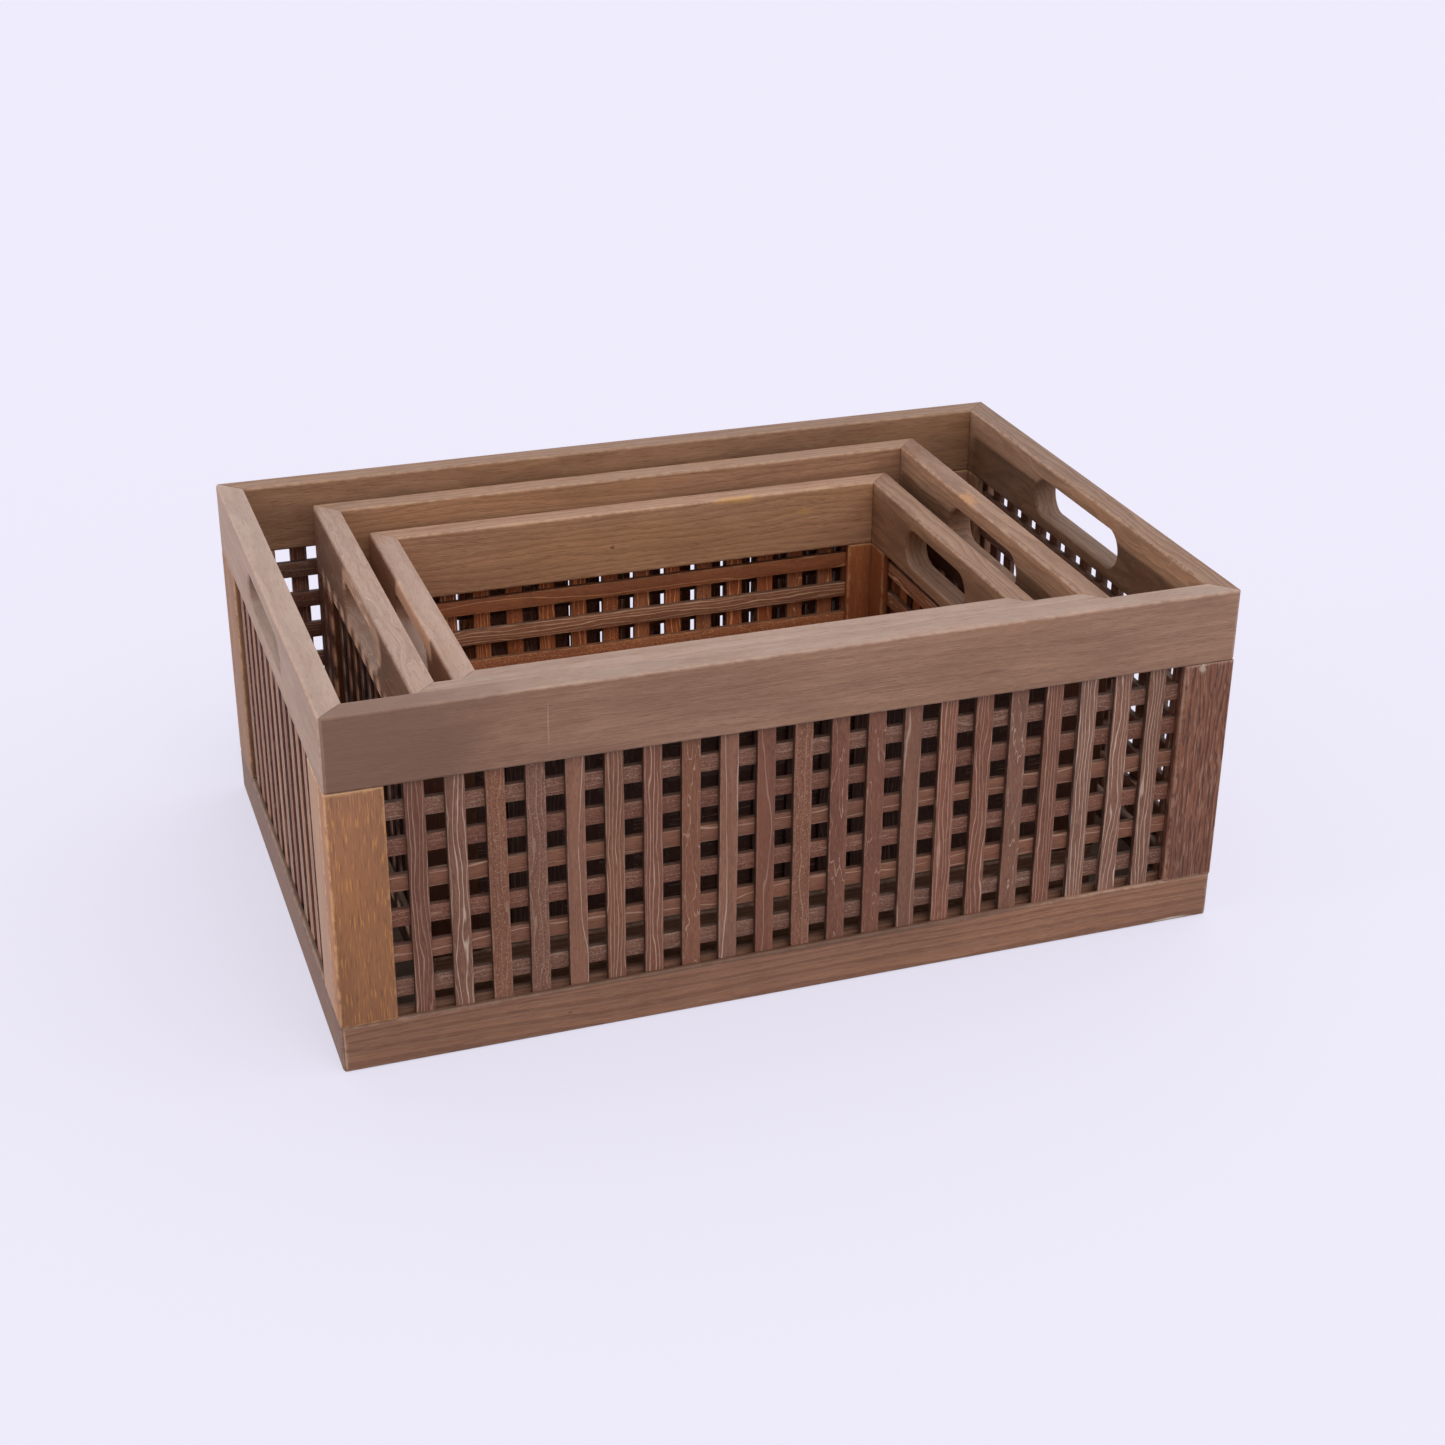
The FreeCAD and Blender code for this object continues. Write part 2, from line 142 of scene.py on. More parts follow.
class Graph:
    """Adds and joins the nodes of one material or one node group."""

    def __init__(self, tree: bpy.types.NodeTree) -> None:
        """Starts from an emptied tree."""
        self.tree = tree
        tree.nodes.clear()

    def add(self, kind: str, **settings: object) -> bpy.types.Node:
        """Adds a node and sets its properties.

        Args:
            kind: The node's type name.
            **settings: Properties of the node.

        Returns:
            The new node.
        """
        node = self.tree.nodes.new(kind)
        for name, value in settings.items():
            setattr(node, name, value)
        return node

    def feed(self, socket: Socket, source: Source) -> None:
        """Joins a socket to another one, or writes a plain value on it."""
        if isinstance(source, Socket):
            self.tree.links.new(source, socket)
        else:
            socket.default_value = source

    def fill(self, node: bpy.types.Node, *values: Source) -> Socket:
        """Feeds a node's inputs in their order and returns its first output."""
        for socket, value in zip(node.inputs, values):
            self.feed(socket, value)
        return node.outputs[0]

    def math(self, operation: str, *values: Source) -> Socket:
        """Adds a Math node with one to three inputs and returns its result."""
        return self.fill(self.add("ShaderNodeMath", operation=operation), *values)

    def vector(self, operation: str, *values: Source) -> Socket:
        """Adds a Vector Math node and returns its vector."""
        return self.fill(self.add("ShaderNodeVectorMath", operation=operation), *values)

    def split(self, vector: Source) -> tuple[Socket, ...]:
        """Returns the three parts of a vector."""
        node = self.add("ShaderNodeSeparateXYZ")
        self.feed(node.inputs[0], vector)
        return tuple(node.outputs)

    def gather(self, x: Source, y: Source, z: Source) -> Socket:
        """Returns a vector made of three parts."""
        return self.fill(self.add("ShaderNodeCombineXYZ"), x, y, z)

    def length(self, vector: Source) -> Socket:
        """Returns the length of a vector."""
        x, y, z = self.split(self.vector("MULTIPLY", vector, vector))
        return self.math("SQRT", self.math("ADD", self.math("ADD", x, y), z))

    def inset(self, place: Source, centre: Source, half: Source) -> tuple[Source, ...]:
        """Returns how far a place lies inside the three pairs of faces of a box."""
        off = self.vector("SUBTRACT", place, centre)
        return self.split(self.vector("SUBTRACT", half, self.vector("ABSOLUTE", off)))

    def noise(self, vector: Source, detail: float = 2.0, roughness: float = 0.5,
              distortion: float = 0.0) -> Socket:
        """Adds a noise whose scale is the vector's own.

        Args:
            vector: Where the noise is read.
            detail: How many finer layers it has.
            roughness: How strong the finer layers are.
            distortion: How much it is bent.

        Returns:
            The socket of its value, from 0 to 1.
        """
        node = self.add("ShaderNodeTexNoise")
        self.feed(node.inputs["Vector"], vector)
        node.inputs["Scale"].default_value = 1.0
        node.inputs["Detail"].default_value = detail
        node.inputs["Roughness"].default_value = roughness
        node.inputs["Distortion"].default_value = distortion
        return node.outputs["Fac"]

    def cloud(self, place: Source, scale: float, detail: float = 3.0,
              roughness: float = 0.5) -> Socket:
        """Returns an even noise, with its scale in patches to the metre."""
        return self.noise(self.vector("MULTIPLY", place, (scale,) * 3), detail, roughness)

    def ramp(self, value: Source, low: Source, high: Source,
             start: Source = 0.0, end: Source = 1.0) -> Socket:
        """Eases a value from start at low to end at high, and holds it outside them."""
        node = self.add("ShaderNodeMapRange", interpolation_type="SMOOTHSTEP")
        return self.fill(node, value, low, high, start, end)

    def mix(self, factor: Source, first: Source, second: Source, blend: str = "MIX") -> Socket:
        """Mixes two colours and returns the result."""
        node = self.add("ShaderNodeMix", data_type="RGBA", blend_type=blend)
        self.feed(node.inputs[0], factor)
        for socket, source in ((node.inputs[6], first), (node.inputs[7], second)):
            if not isinstance(source, Socket):
                source = (*source[:3], 1.0)
            self.feed(socket, source)
        return node.outputs[2]

    def lay(self, colour: Source, over: Source, mask: Source, strength: float) -> Socket:
        """Lays one colour over another where a mask lets it show."""
        return self.mix(self.math("MULTIPLY", mask, strength), colour, over)

    def end(self, kind: str, shader: Socket) -> None:
        """Joins a shader to the tree's output."""
        self.feed(self.add(kind).inputs["Surface"], shader)


def new_material(name: str) -> tuple[Graph, bpy.types.Material]:
    """Makes an empty material and its graph."""
    material = bpy.data.materials.new(name)
    material.use_nodes = True
    return Graph(material.node_tree), material


class SharedGroup:
    """A node group with named inputs and outputs, built once and used by many materials."""

    name: str = ""
    inputs: dict[str, Union[float, Triple]] = {}
    outputs: tuple[str, ...] = ()

    def __init__(self) -> None:
        """Makes the group's sockets, then its inside."""
        self.tree = bpy.data.node_groups.new(self.name, "ShaderNodeTree")
        for label, value in {"Vector": ORIGIN, **self.inputs}.items():
            kind = "NodeSocketFloat" if isinstance(value, float) else "NodeSocketVector"
            socket = self.tree.interface.new_socket(name=label, in_out="INPUT", socket_type=kind)
            socket.default_value = value
        for label in self.outputs:
            self.tree.interface.new_socket(name=label, in_out="OUTPUT",
                                           socket_type="NodeSocketFloat")
        graph = Graph(self.tree)
        source = graph.add("NodeGroupInput")
        result = graph.add("NodeGroupOutput")
        values = self.build(graph, source.outputs)
        for label, value in values.items():
            graph.feed(result.inputs[label], value)

    def build(self, graph: Graph, given: Sockets) -> dict[str, Source]:
        """Builds the inside of the group and returns what each output carries."""
        raise NotImplementedError

    def place(self, graph: Graph, **values: Source) -> Sockets:
        """Places the group in a material.

        Args:
            graph: The material's graph.
            **values: The group's inputs, with underscores for spaces.

        Returns:
            The outputs of the placed group.
        """
        node = graph.add("ShaderNodeGroup")
        node.node_tree = self.tree
        for label, value in values.items():
            graph.feed(node.inputs[label.replace("_", " ").title()], value)
        return node.outputs


class WoodGrain(SharedGroup):
    """Growth lines, fibres, pores and blotches of a board whose grain runs along X.

    Its vector is in metres and its other inputs are in millimetres. A bend's width is a share
    of its length. Gaps, blotches and drifts are given by length, width and starting place.
    """

    name = "wood_grain"
    inputs = {
        "Heart Y": 60.0, "Heart Z": -40.0, "Ring Width": 3.0, "Wander": 2.0,
        "Wander Length": 80.0, "Line Width": 0.16, "Fibre Length": 14.0, "Fibre Width": 0.8,
        "Pore Length": 3.0, "Pore Width": 0.5,
    }
    outputs = ("Rings", "Lines", "Fibre", "Pores", "Dashes", "Blotch", "Drift")
    bend_width = 0.16
    late_wood_end, early_wood_start = 0.85, 0.86
    faintest_line = 0.4
    line_gaps = (24.0, 3.0)
    blotches = (60.0, 16.0)
    drifts = (170.0, 45.0, 11.0)
    dash_start = 37.0

    def build(self, graph: Graph, given: Sockets) -> dict[str, Source]:
        """Builds the growth lines first, then the finer layers."""
        millimetres = graph.vector("MULTIPLY", given["Vector"], (1 / MM,) * 3)
        x, y, z = graph.split(millimetres)

        def stretched(length: Source, width: Source, start: float = 0.0) -> Source:
            """Returns the place measured in units of one length and one width."""
            return graph.gather(graph.math("ADD", graph.math("DIVIDE", x, length), start),
                                graph.math("DIVIDE", y, width), graph.math("DIVIDE", z, width))

        length = given["Wander Length"]
        place = stretched(length, graph.math("MULTIPLY", length, self.bend_width))
        bend = graph.math("SUBTRACT", graph.noise(place, detail=2.5, roughness=0.45), 0.5)
        bend = graph.math("MULTIPLY", graph.math("MULTIPLY", bend, 4.0), given["Wander"])
        side_y = graph.math("SUBTRACT", y, given["Heart Y"])
        side_z = graph.math("SUBTRACT", z, given["Heart Z"])
        square = graph.math("ADD", graph.math("MULTIPLY", side_y, side_y),
                            graph.math("MULTIPLY", side_z, side_z))
        distance = graph.math("ADD", graph.math("SQRT", square), bend)
        turns = graph.math("DIVIDE", distance, given["Ring Width"])
        part = graph.math("FRACT", turns)
        chance = graph.add("ShaderNodeTexWhiteNoise", noise_dimensions="1D")
        graph.feed(chance.inputs["W"], graph.math("FLOOR", turns))

        late = graph.ramp(part, 0.0, self.late_wood_end)
        fall = graph.ramp(part, self.early_wood_start, 1.0, 1.0, 0.0)
        rings = graph.math("MULTIPLY", late, fall)

        off_line = graph.math("ABSOLUTE", graph.math("SUBTRACT", part, 0.5))
        thin = graph.ramp(off_line, 0.0, given["Line Width"], 1.0, 0.0)
        strength = graph.math("MULTIPLY_ADD", chance.outputs["Value"], 1.0 - self.faintest_line,
                              self.faintest_line)
        broken = graph.ramp(graph.noise(stretched(*self.line_gaps), detail=3.0), 0.27, 0.42)
        lines = graph.math("MULTIPLY", graph.math("MULTIPLY", thin, strength), broken)

        fibre = graph.noise(stretched(given["Fibre Length"], given["Fibre Width"]),
                            detail=4.0, roughness=0.62, distortion=0.2)
        pores, dashes = (
            graph.noise(stretched(given["Pore Length"], given["Pore Width"], start), detail=1.5)
            for start in (0.0, self.dash_start))
        return {
            "Rings": rings,
            "Lines": lines,
            "Fibre": graph.ramp(fibre, 0.30, 0.70),
            "Pores": graph.ramp(pores, 0.56, 0.68),
            "Dashes": graph.ramp(dashes, 0.57, 0.69),
            "Blotch": graph.ramp(graph.noise(stretched(*self.blotches), detail=3.0), 0.32, 0.68),
            "Drift": graph.ramp(graph.noise(stretched(*self.drifts)), 0.35, 0.65),
        }


class EdgeWear(SharedGroup):
    """How near a point is to an edge of its board, from 0 to 1, broken up as rubbing does."""

    name = "edge_wear"
    inputs = {"Centre": ORIGIN, "Half Size": (0.1, 0.1, 0.1), "Reach": 1.5 * MM}
    outputs = ("Wear",)

    def build(self, graph: Graph, given: Sockets) -> dict[str, Source]:
        """Takes the middle one of the distances to the board's three pairs of faces."""
        x, y, z = graph.inset(given["Vector"], given["Centre"], given["Half Size"])
        nearer = graph.math("MINIMUM", x, y)
        farther = graph.math("MAXIMUM", x, y)
        to_edge = graph.math("MAXIMUM", nearer, graph.math("MINIMUM", farther, z))
        rub = graph.cloud(given["Vector"], 210.0, roughness=0.6)
        reach = graph.math("MULTIPLY", given["Reach"], graph.ramp(rub, 0.3, 0.75, 0.35, 1.9))
        return {"Wear": graph.ramp(to_edge, 0.0, reach, 1.0, 0.0)}


class SideGrime(SharedGroup):
    """Painted shade on the narrow sides of a strip: how dark they are made, standing in for the
    shade that falls between the strips.
    """

    name = "side_painted_shade"
    inputs = {"Half Size": (0.1, 0.1, 0.1)}
    outputs = ("Grime",)
    colour = (0.030, 0.013, 0.009)
    strength = 0.62
    broad_reach, narrow_reach = 3.0 * MM, 4.3 * MM

    def build(self, graph: Graph, given: Sockets) -> dict[str, Source]:
        """Tells the narrow sides from the broad ones by how far they are from the middle."""
        normal = graph.add("ShaderNodeNewGeometry").outputs["Normal"]
        far = graph.vector("MULTIPLY", graph.vector("ABSOLUTE", normal), given["Half Size"])
        x, y, z = graph.split(far)
        reach = graph.math("ADD", graph.math("ADD", x, y), z)
        side = graph.ramp(reach, self.broad_reach, self.narrow_reach)
        cloud = graph.cloud(given["Vector"], 120.0)
        return {"Grime": graph.math("MULTIPLY", side, graph.ramp(cloud, 0.25, 0.6, 0.7, 1.0))}


class TopFade(SharedGroup):
    """Painted sheen: how much paler and greyer a point is made, most on upward faces, standing in
    for the light that falls on tops.
    """

    name = "top_painted_sheen"
    outputs = ("Fade",)

    def build(self, graph: Graph, given: Sockets) -> dict[str, Source]:
        """Reads which way the surface faces, and breaks the edge of the painted sheen up."""
        normal = graph.add("ShaderNodeNewGeometry").outputs["Normal"]
        upward = graph.ramp(graph.split(normal)[2], 0.35, 0.9)
        cloud = graph.cloud(given["Vector"], 38.0, detail=4.0, roughness=0.65)
        return {"Fade": graph.math("MULTIPLY", upward, graph.ramp(cloud, 0.2, 0.62, 0.55, 1.0))}


class MitreSeam(SharedGroup):
    """The dark joint line where two boards of a frame meet at 45 degrees.

    Its vectors are the frame's centre and half size in plan, in metres.
    """

    name = "mitre_seam"
    inputs = {"Centre": ORIGIN, "Half Size": (0.2, 0.1, 0.1), "Width": 0.5 * MM}
    outputs = ("Seam",)

    def build(self, graph: Graph, given: Sockets) -> dict[str, Source]:
        """Compares how far the point lies inside the frame's long and short sides."""
        x, y, _ = graph.inset(given["Vector"], given["Centre"], given["Half Size"])
        gap = graph.math("ABSOLUTE", graph.math("SUBTRACT", x, y))
        rough = graph.cloud(given["Vector"], 300.0, detail=2.0)
        width = graph.math("MULTIPLY", given["Width"], graph.ramp(rough, 0.3, 0.7, 0.5, 1.5))
        return {"Seam": graph.ramp(gap, 0.0, width, 1.0, 0.0)}


class Patch(SharedGroup):
    """A rounded patch with a ragged edge, such as a knot, a worn spot or a stain."""

    name = "patch"
    inputs = {"Place": ORIGIN, "Half Size": (0.01, 0.01, 0.01), "Raggedness": 0.6}
    outputs = ("Mask",)

    def build(self, graph: Graph, given: Sockets) -> dict[str, Source]:
        """Measures the distance from the patch's middle in units of its size."""
        off = graph.vector("DIVIDE", graph.vector("SUBTRACT", given["Vector"], given["Place"]),
                           given["Half Size"])
        ragged = graph.cloud(off, 2.2, detail=4.0, roughness=0.65)
        ragged = graph.math("MULTIPLY", graph.math("SUBTRACT", ragged, 0.5), given["Raggedness"])
        distance = graph.math("MULTIPLY_ADD", ragged, 2.0, graph.length(off))
        return {"Mask": graph.ramp(distance, 0.35, 1.0, 1.0, 0.0)}


# Finishes

@dataclass(frozen=True)
class WoodFinish:
    """The colours and figure of one kind of wood. Lengths are in millimetres."""

    dark: Colour
    middle: Colour
    light: Colour
    warm: Colour
    line: Colour
    worn: Colour
    faded: Colour = (0.53, 0.385, 0.32)
    ring_width: float = 3.0
    wander: float = 2.0
    wander_length: float = 80.0
    line_width: float = 0.16
    fibre_length: float = 14.0
    fibre_width: float = 0.8
    pore_length: float = 3.0
    pore_width: float = 0.5
    line_strength: float = 0.2
    ring_strength: float = 0.3
    fibre_strength: float = 0.8
    pore_strength: float = 0.3
    dash_strength: float = 0.2
    blotch_strength: float = 0.35
    drift_strength: float = 0.4
    wear_strength: float = 0.5
    fade_strength: float = 0.72
    heart: float = 45.0
    seam_strength: float = 0.62
    roughness: float = 0.62
    bump: float = 0.3
    bump_depth: float = 0.3 * MM
    gloss: float = 0.42


RIM_WOOD = WoodFinish(
    dark=(0.175, 0.082, 0.050), middle=(0.415, 0.224, 0.150), light=(0.570, 0.332, 0.230),
    warm=(0.450, 0.226, 0.126), line=(0.68, 0.47, 0.35), worn=(0.62, 0.41, 0.30),
    ring_width=6.5, wander=3.4, line_width=0.06, line_strength=0.16, ring_strength=0.20,
    fibre_length=17.0, fibre_width=0.48, pore_length=6.0, pore_width=0.38,
    pore_strength=0.34, dash_strength=0.16)
WARM_RIM_WOOD = WoodFinish(
    dark=(0.170, 0.074, 0.038), middle=(0.410, 0.208, 0.117), light=(0.540, 0.295, 0.172),
    warm=(0.490, 0.245, 0.108), line=(0.66, 0.43, 0.26), worn=(0.60, 0.38, 0.23),
    faded=(0.435, 0.285, 0.215), ring_width=3.6, wander=3.6, wander_length=95.0, line_width=0.07,
    line_strength=0.18, ring_strength=0.32, fibre_length=16.0, fibre_width=0.55,
    pore_length=7.0, pore_width=0.45, pore_strength=0.45, dash_strength=0.14)
GREY_RIM_WOOD = replace(
    RIM_WOOD, dark=(0.240, 0.148, 0.110), middle=(0.392, 0.254, 0.196),
    light=(0.500, 0.340, 0.268), warm=(0.430, 0.264, 0.182))
BROWN_RIM_WOOD = replace(
    RIM_WOOD, dark=(0.130, 0.058, 0.032), middle=(0.325, 0.168, 0.100),
    light=(0.440, 0.248, 0.155), warm=(0.410, 0.195, 0.088),
    faded=(0.440, 0.290, 0.225), ring_width=3.4, wander=4.0,
    ring_strength=0.42, fade_strength=0.5)
WAVY_RIM_WOOD = replace(
    RIM_WOOD, ring_width=4.2, wander=5.0, wander_length=55.0, line_width=0.09,
    line_strength=0.75, heart=26.0)
RIM_WOODS = {Side.RIGHT: BROWN_RIM_WOOD, Side.BACK: WARM_RIM_WOOD}
LEFT_RIM_WOODS = {"large": GREY_RIM_WOOD, "middle": WAVY_RIM_WOOD}
BASE_WOOD = WoodFinish(
    dark=(0.125, 0.050, 0.030), middle=(0.340, 0.158, 0.096), light=(0.440, 0.228, 0.146),
    warm=(0.420, 0.200, 0.108), line=(0.56, 0.36, 0.24), worn=(0.60, 0.39, 0.27),
    ring_width=2.6, wander=1.3, wander_length=120.0, line_width=0.12, line_strength=0.22,
    ring_strength=0.42, fibre_length=26.0, pore_length=7.0, pore_strength=0.34,
    dash_strength=0.16, fade_strength=0.35)
DARK_BASE_WOOD = replace(
    BASE_WOOD, dark=(0.090, 0.042, 0.028), middle=(0.190, 0.098, 0.068),
    light=(0.270, 0.150, 0.105), warm=(0.200, 0.098, 0.060), worn=(0.40, 0.25, 0.18))
GOLD_WOOD = WoodFinish(
    dark=(0.200, 0.092, 0.058), middle=(0.355, 0.158, 0.096), light=(0.460, 0.205, 0.108),
    warm=(0.540, 0.225, 0.080), line=(0.84, 0.38, 0.11), worn=(0.74, 0.42, 0.20),
    ring_width=5.0, wander=3.0, line_width=0.05, line_strength=0.10, ring_strength=0.16,
    fibre_length=14.0, fibre_width=0.8, pore_length=10.0, pore_width=0.60, pore_strength=0.62,
    dash_strength=0.60, blotch_strength=0.66, drift_strength=0.55, wear_strength=0.7)
PALE_WOOD = WoodFinish(
    dark=(0.310, 0.162, 0.098), middle=(0.450, 0.256, 0.172), light=(0.550, 0.335, 0.235),
    warm=(0.500, 0.280, 0.160), line=(0.64, 0.45, 0.32), worn=(0.78, 0.50, 0.28),
    ring_width=4.0, line_width=0.06, line_strength=0.12, ring_strength=0.2,
    pore_strength=0.25, dash_strength=0.25, wear_strength=0.75)
RED_WOOD = WoodFinish(
    dark=(0.095, 0.032, 0.020), middle=(0.305, 0.110, 0.066), light=(0.440, 0.190, 0.118),
    warm=(0.350, 0.125, 0.062), line=(0.62, 0.38, 0.27), worn=(0.62, 0.37, 0.26),
    ring_width=2.1, wander=1.5, wander_length=40.0, line_width=0.12, line_strength=0.22,
    ring_strength=0.78, fibre_length=11.0, fibre_width=1.0, pore_length=9.0, pore_width=0.85,
    pore_strength=0.88, dash_strength=0.38, bump=0.7)
ORANGE_WOOD = WoodFinish(
    dark=(0.150, 0.036, 0.012), middle=(0.335, 0.092, 0.030), light=(0.450, 0.150, 0.050),
    warm=(0.400, 0.105, 0.026), line=(0.66, 0.38, 0.15), worn=(0.66, 0.38, 0.17),
    faded=(0.52, 0.30, 0.15), ring_width=4.0, wander=1.8, line_width=0.06,
    line_strength=0.10, ring_strength=0.25, pore_strength=0.25, dash_strength=0.15)
BROWN_WOOD = replace(
    ORANGE_WOOD, dark=(0.140, 0.062, 0.036), middle=(0.310, 0.155, 0.096),
    light=(0.420, 0.225, 0.140), warm=(0.360, 0.165, 0.080))
FLOOR_WOOD = WoodFinish(
    dark=(0.150, 0.072, 0.040), middle=(0.270, 0.150, 0.092), light=(0.350, 0.208, 0.135),
    warm=(0.310, 0.160, 0.080), line=(0.42, 0.27, 0.18), worn=(0.40, 0.26, 0.17),
    faded=(0.36, 0.23, 0.16), ring_width=7.0, wander=6.0, line_width=0.05,
    line_strength=0.15, ring_strength=0.35)

STRIP_WOOD = WoodFinish(
    dark=(0.112, 0.042, 0.027), middle=(0.254, 0.109, 0.071), light=(0.355, 0.168, 0.114),
    warm=(0.305, 0.124, 0.068), line=(0.76, 0.54, 0.43), worn=(0.47, 0.29, 0.21),
    faded=(0.38, 0.25, 0.20), fibre_length=9.0, fibre_width=0.7, pore_length=3.5,
    pore_strength=0.42, dash_strength=0.14, ring_strength=0.22, blotch_strength=0.3,
    drift_strength=0.35, wear_strength=0.5, fade_strength=0.3, bump=0.45)

FIGURES: dict[Figure, WoodFinish] = {
    Figure.FINE: replace(STRIP_WOOD, ring_width=1.9, wander=1.5, wander_length=38.0,
                         line_width=0.20, line_strength=0.85),
    Figure.BOLD: replace(STRIP_WOOD, ring_width=2.4, wander=2.6, wander_length=46.0,
                         line_width=0.16, line_strength=1.0),
    Figure.PLAIN: replace(STRIP_WOOD, ring_width=8.0, wander=5.0, wander_length=90.0,
                          line_width=0.055, line_strength=0.9, dash_strength=0.08),
    Figure.FLECKED: replace(STRIP_WOOD, ring_width=3.4, wander=2.2, wander_length=30.0,
                            line_width=0.11, line_strength=0.35, fibre_length=1.7,
                            fibre_width=0.8, pore_length=1.0, pore_width=0.7,
                            pore_strength=0.6, dash_strength=0.30),
    Figure.CURLED: replace(STRIP_WOOD, ring_width=7.0, wander=7.5, wander_length=28.0,
                           line_width=0.05, line_strength=0.8),
}


@dataclass(frozen=True)
class Mark:
    """A knot, a worn spot or a stain on one board.

    Its place is given in shares of the board, from its low end, its low or left side, and the
    low face of its thickness. Its half sizes are in millimetres.
    """

    along: float
    across: float
    half_length: float
    half_width: float
    colour: Colour
    strength: float = 0.8
    raggedness: float = 0.6
    through: float = 0.5
    half_depth: float = 50.0

    def place(self, box: Box, run: Axis) -> Box:
        """Works out where the mark is.

        Args:
            box: The board's lowest and highest corners.
            run: The direction of its grain.

        Returns:
            The mark's middle and half size.
        """
        low, high = box
        size = high - low
        wide, thin = run.across(size)
        middle, half = low.copy(), size.copy()
        for axis, share, reach in ((run.value, self.along, self.half_length),
                                   (wide, self.across, self.half_width),
                                   (thin, self.through, self.half_depth)):
            middle[axis] += share * size[axis]
            half[axis] = reach * MM
        return middle, half


@dataclass(frozen=True)
class Share:
    """How light a board is at its two ends, and the marks on it."""

    low_end: float = 1.0
    high_end: float = 1.0
    marks: tuple[Mark, ...] = ()


PLAIN_SHARE = Share()
STRIP_WORDS = ("strip_shift", "strip_tone", "strip_centre", "strip_half")
STRIP_WEAR = 0.7 * MM
FIBRE_ROUGHNESS = 0.12
WEAR_ROUGHNESS = -0.08
RELIEFS = {"Lines": 0.4, "Fibre": 0.5, "Pores": -0.7}
GRAIN_MEASURES = ("ring_width", "wander", "wander_length", "line_width", "fibre_length",
                  "fibre_width", "pore_length", "pore_width")
TURNS = {Axis.X: (0.0, 0.0, 0.0), Axis.Y: (0.0, 0.0, -math.pi / 2),
         Axis.Z: (0.0, math.pi / 2, 0.0)}

# Dark brown of knots, also used for a band of painted shade on the base.
DARK_KNOT_AND_SHADE = (0.13, 0.06, 0.035)
DARK_BROWN_PATCH = (0.215, 0.112, 0.078)
RED_STAIN = (0.25, 0.10, 0.05)
YELLOW_WOOD = (0.68, 0.37, 0.13)
AMBER_WOOD = (0.66, 0.32, 0.12)
RAW_WOOD = (0.80, 0.68, 0.55)

BOARD_SHARES: dict[str, Share] = {
    "large_rim_front": Share(0.92, 1.03, (
        # The front rim is laid darker towards its left end and lighter towards its right.
        Mark(0.0, 0.5, 130.0, 80.0, DARK_BROWN_PATCH, 0.75, 0.5),
        Mark(0.225, 0.50, 0.5, 15.0, RAW_WOOD, 0.22, 0.9),
        Mark(0.71, 0.35, 9.0, 1.2, DARK_KNOT_AND_SHADE, 0.35))),
    "large_rim_back": Share(0.86, 0.78, (Mark(0.13, 0.5, 5.5, 3.2, DARK_KNOT_AND_SHADE, 0.75),)),
    "large_rim_left": Share(1.0, 1.05),
    "large_rim_right": Share(0.92, 0.84),
    # Painted shade: the middle crate's posts are laid darker, standing in for the shade inside the
    # large crate.
    "middle_post_front_left": Share(0.34, 0.34),
    "middle_post_front_right": Share(0.34, 0.34),
    "middle_post_back_left": Share(0.50, 0.50),
    "middle_post_back_right": Share(0.70, 0.70),
    "middle_rim_right": Share(0.95, 1.0, (
        Mark(0.60, 1.0, 10.0, 2.6, AMBER_WOOD, 0.55, 1.2, 0.15, 7.0),
        Mark(0.91, 1.0, 15.0, 5.0, RED_STAIN, 0.45, 1.0, 0.2, 8.0))),
    "small_rim_back": Share(1.20, 1.20, (
        Mark(0.68, 0.97, 16.0, 2.6, YELLOW_WOOD, 0.70, 0.9, 0.0, 5.0),
        Mark(0.82, 0.66, 7.0, 2.4, YELLOW_WOOD, 0.50, 0.9),
        Mark(0.44, 0.45, 1.8, 1.5, DARK_KNOT_AND_SHADE, 0.7))),
    "large_floor_panel": Share(0.50, 0.62),
    "large_base_front": Share(0.95, 1.12, (
        # Painted shade: a dark band along the top edge of the base front, where the slats stand
        # back above it.
        Mark(0.50, 0.99, 260.0, 2.2, DARK_KNOT_AND_SHADE, 0.85, 0.9),
        Mark(0.955, 0.06, 13.0, 0.9, RAW_WOOD, 0.85, 0.7),
        Mark(0.24, 0.45, 1.6, 1.1, DARK_KNOT_AND_SHADE, 0.6))),
    "large_post_front_right": Share(1.06, 0.94, (
        Mark(0.985, 0.35, 3.0, 2.6, RAW_WOOD, 0.5, 1.0),)),
}


